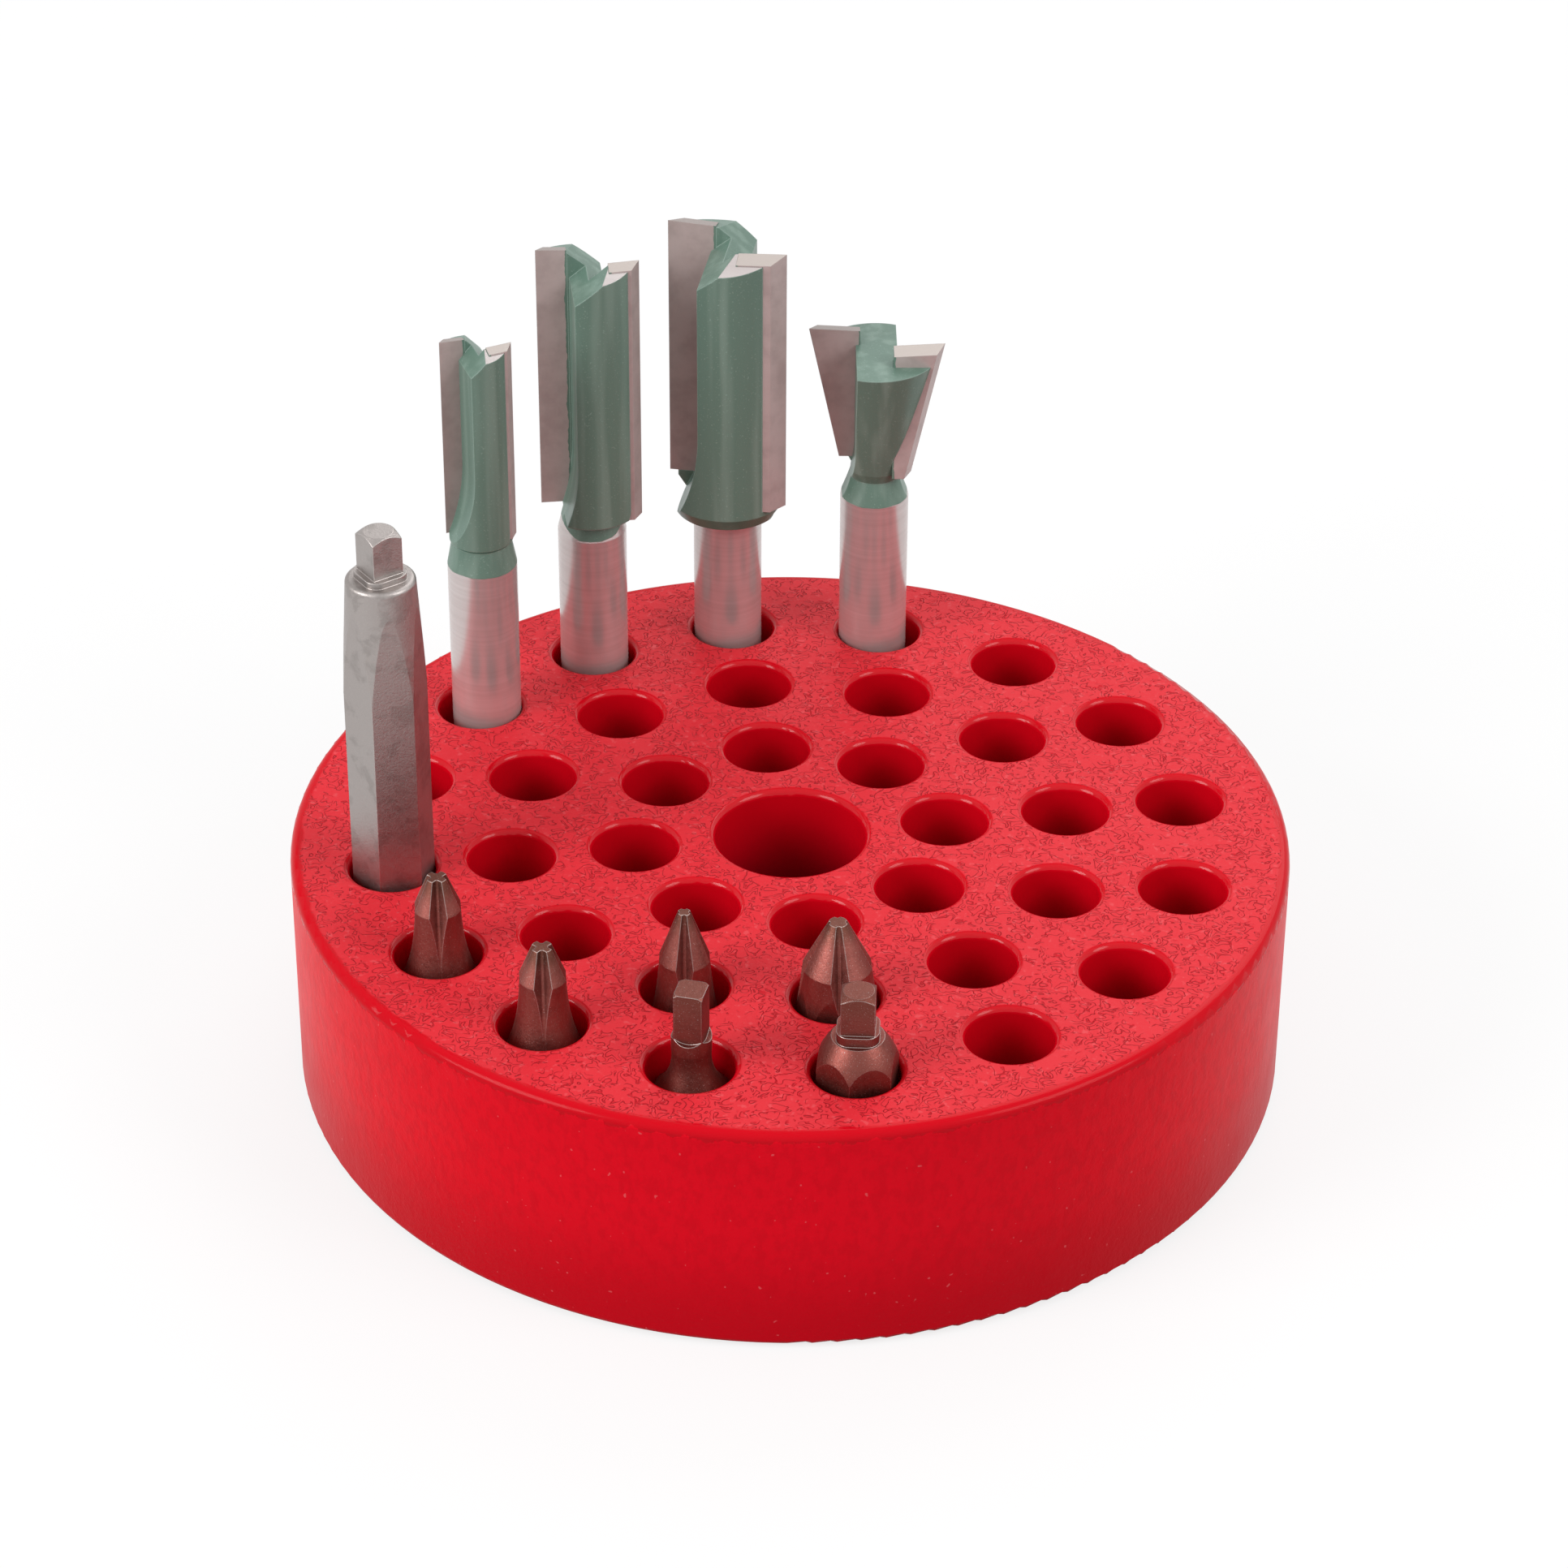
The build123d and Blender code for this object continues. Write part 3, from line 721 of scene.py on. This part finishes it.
def makeSky():
    world = bpy.data.worlds.new("studio")
    scene.world = world
    world.use_nodes = True
    tree = world.node_tree
    background = tree.nodes["Background"]
    background.inputs["Color"].default_value = white
    strength = mixValue(tree, seenDirectly(tree), studio["skyLight"], 1.0)
    tree.links.new(strength, background.inputs["Strength"])


def makeLamp(name, place, size, power):
    lamp = bpy.data.lights.new(name, "AREA")
    lamp.shape = "DISK"
    lamp.size = size
    lamp.energy = power
    made = bpy.data.objects.new(name, lamp)
    scene.collection.objects.link(made)
    made.location = place
    towards = Vector(studio["lampTarget"]) - Vector(place)
    made.rotation_euler = towards.to_track_quat("-Z", "Y").to_euler()


makeFloor()
makeSky()
for lampName, lampSettings in studio["lamps"].items():
    makeLamp(lampName, **lampSettings)
print("studio lit")

# The camera looks at the middle of the top face, from the front and above. Angles are in degrees.
cameraSettings = {
    "focalPixels": 6134.16,
    "distance": 443.86 * mm,
    "elevation": 34.07,
    "roll": 0.376,
    "lookAtPixel": (973.79, 1024.90),
    "imageSize": 1932,
    "sensorWidth": 36.0,
    "nearest": 0.01,
    "farthest": 20,
}


def makeCamera():
    settings = cameraSettings
    width = settings["imageSize"]
    column, row = settings["lookAtPixel"]
    data = bpy.data.cameras.new("camera")
    data.sensor_width = settings["sensorWidth"]
    data.lens = settings["focalPixels"] / width * settings["sensorWidth"]
    data.shift_x = (width / 2 - column) / width
    data.shift_y = (row - width / 2) / width
    data.clip_start = settings["nearest"]
    data.clip_end = settings["farthest"]
    camera = bpy.data.objects.new("camera", data)
    scene.collection.objects.link(camera)
    elevation, roll = math.radians(settings["elevation"]), math.radians(settings["roll"])
    back = Vector((0, -math.cos(elevation), math.sin(elevation)))
    place = Vector((0, 0, topFace)) + settings["distance"] * back
    turn = (-back).to_track_quat("-Z", "Y").to_matrix().to_4x4()
    camera.matrix_world = Matrix.Translation(place) @ turn @ Matrix.Rotation(roll, 4, "Z")
    scene.camera = camera


makeCamera()
scene.view_settings.view_transform = "Standard"
print("camera set")
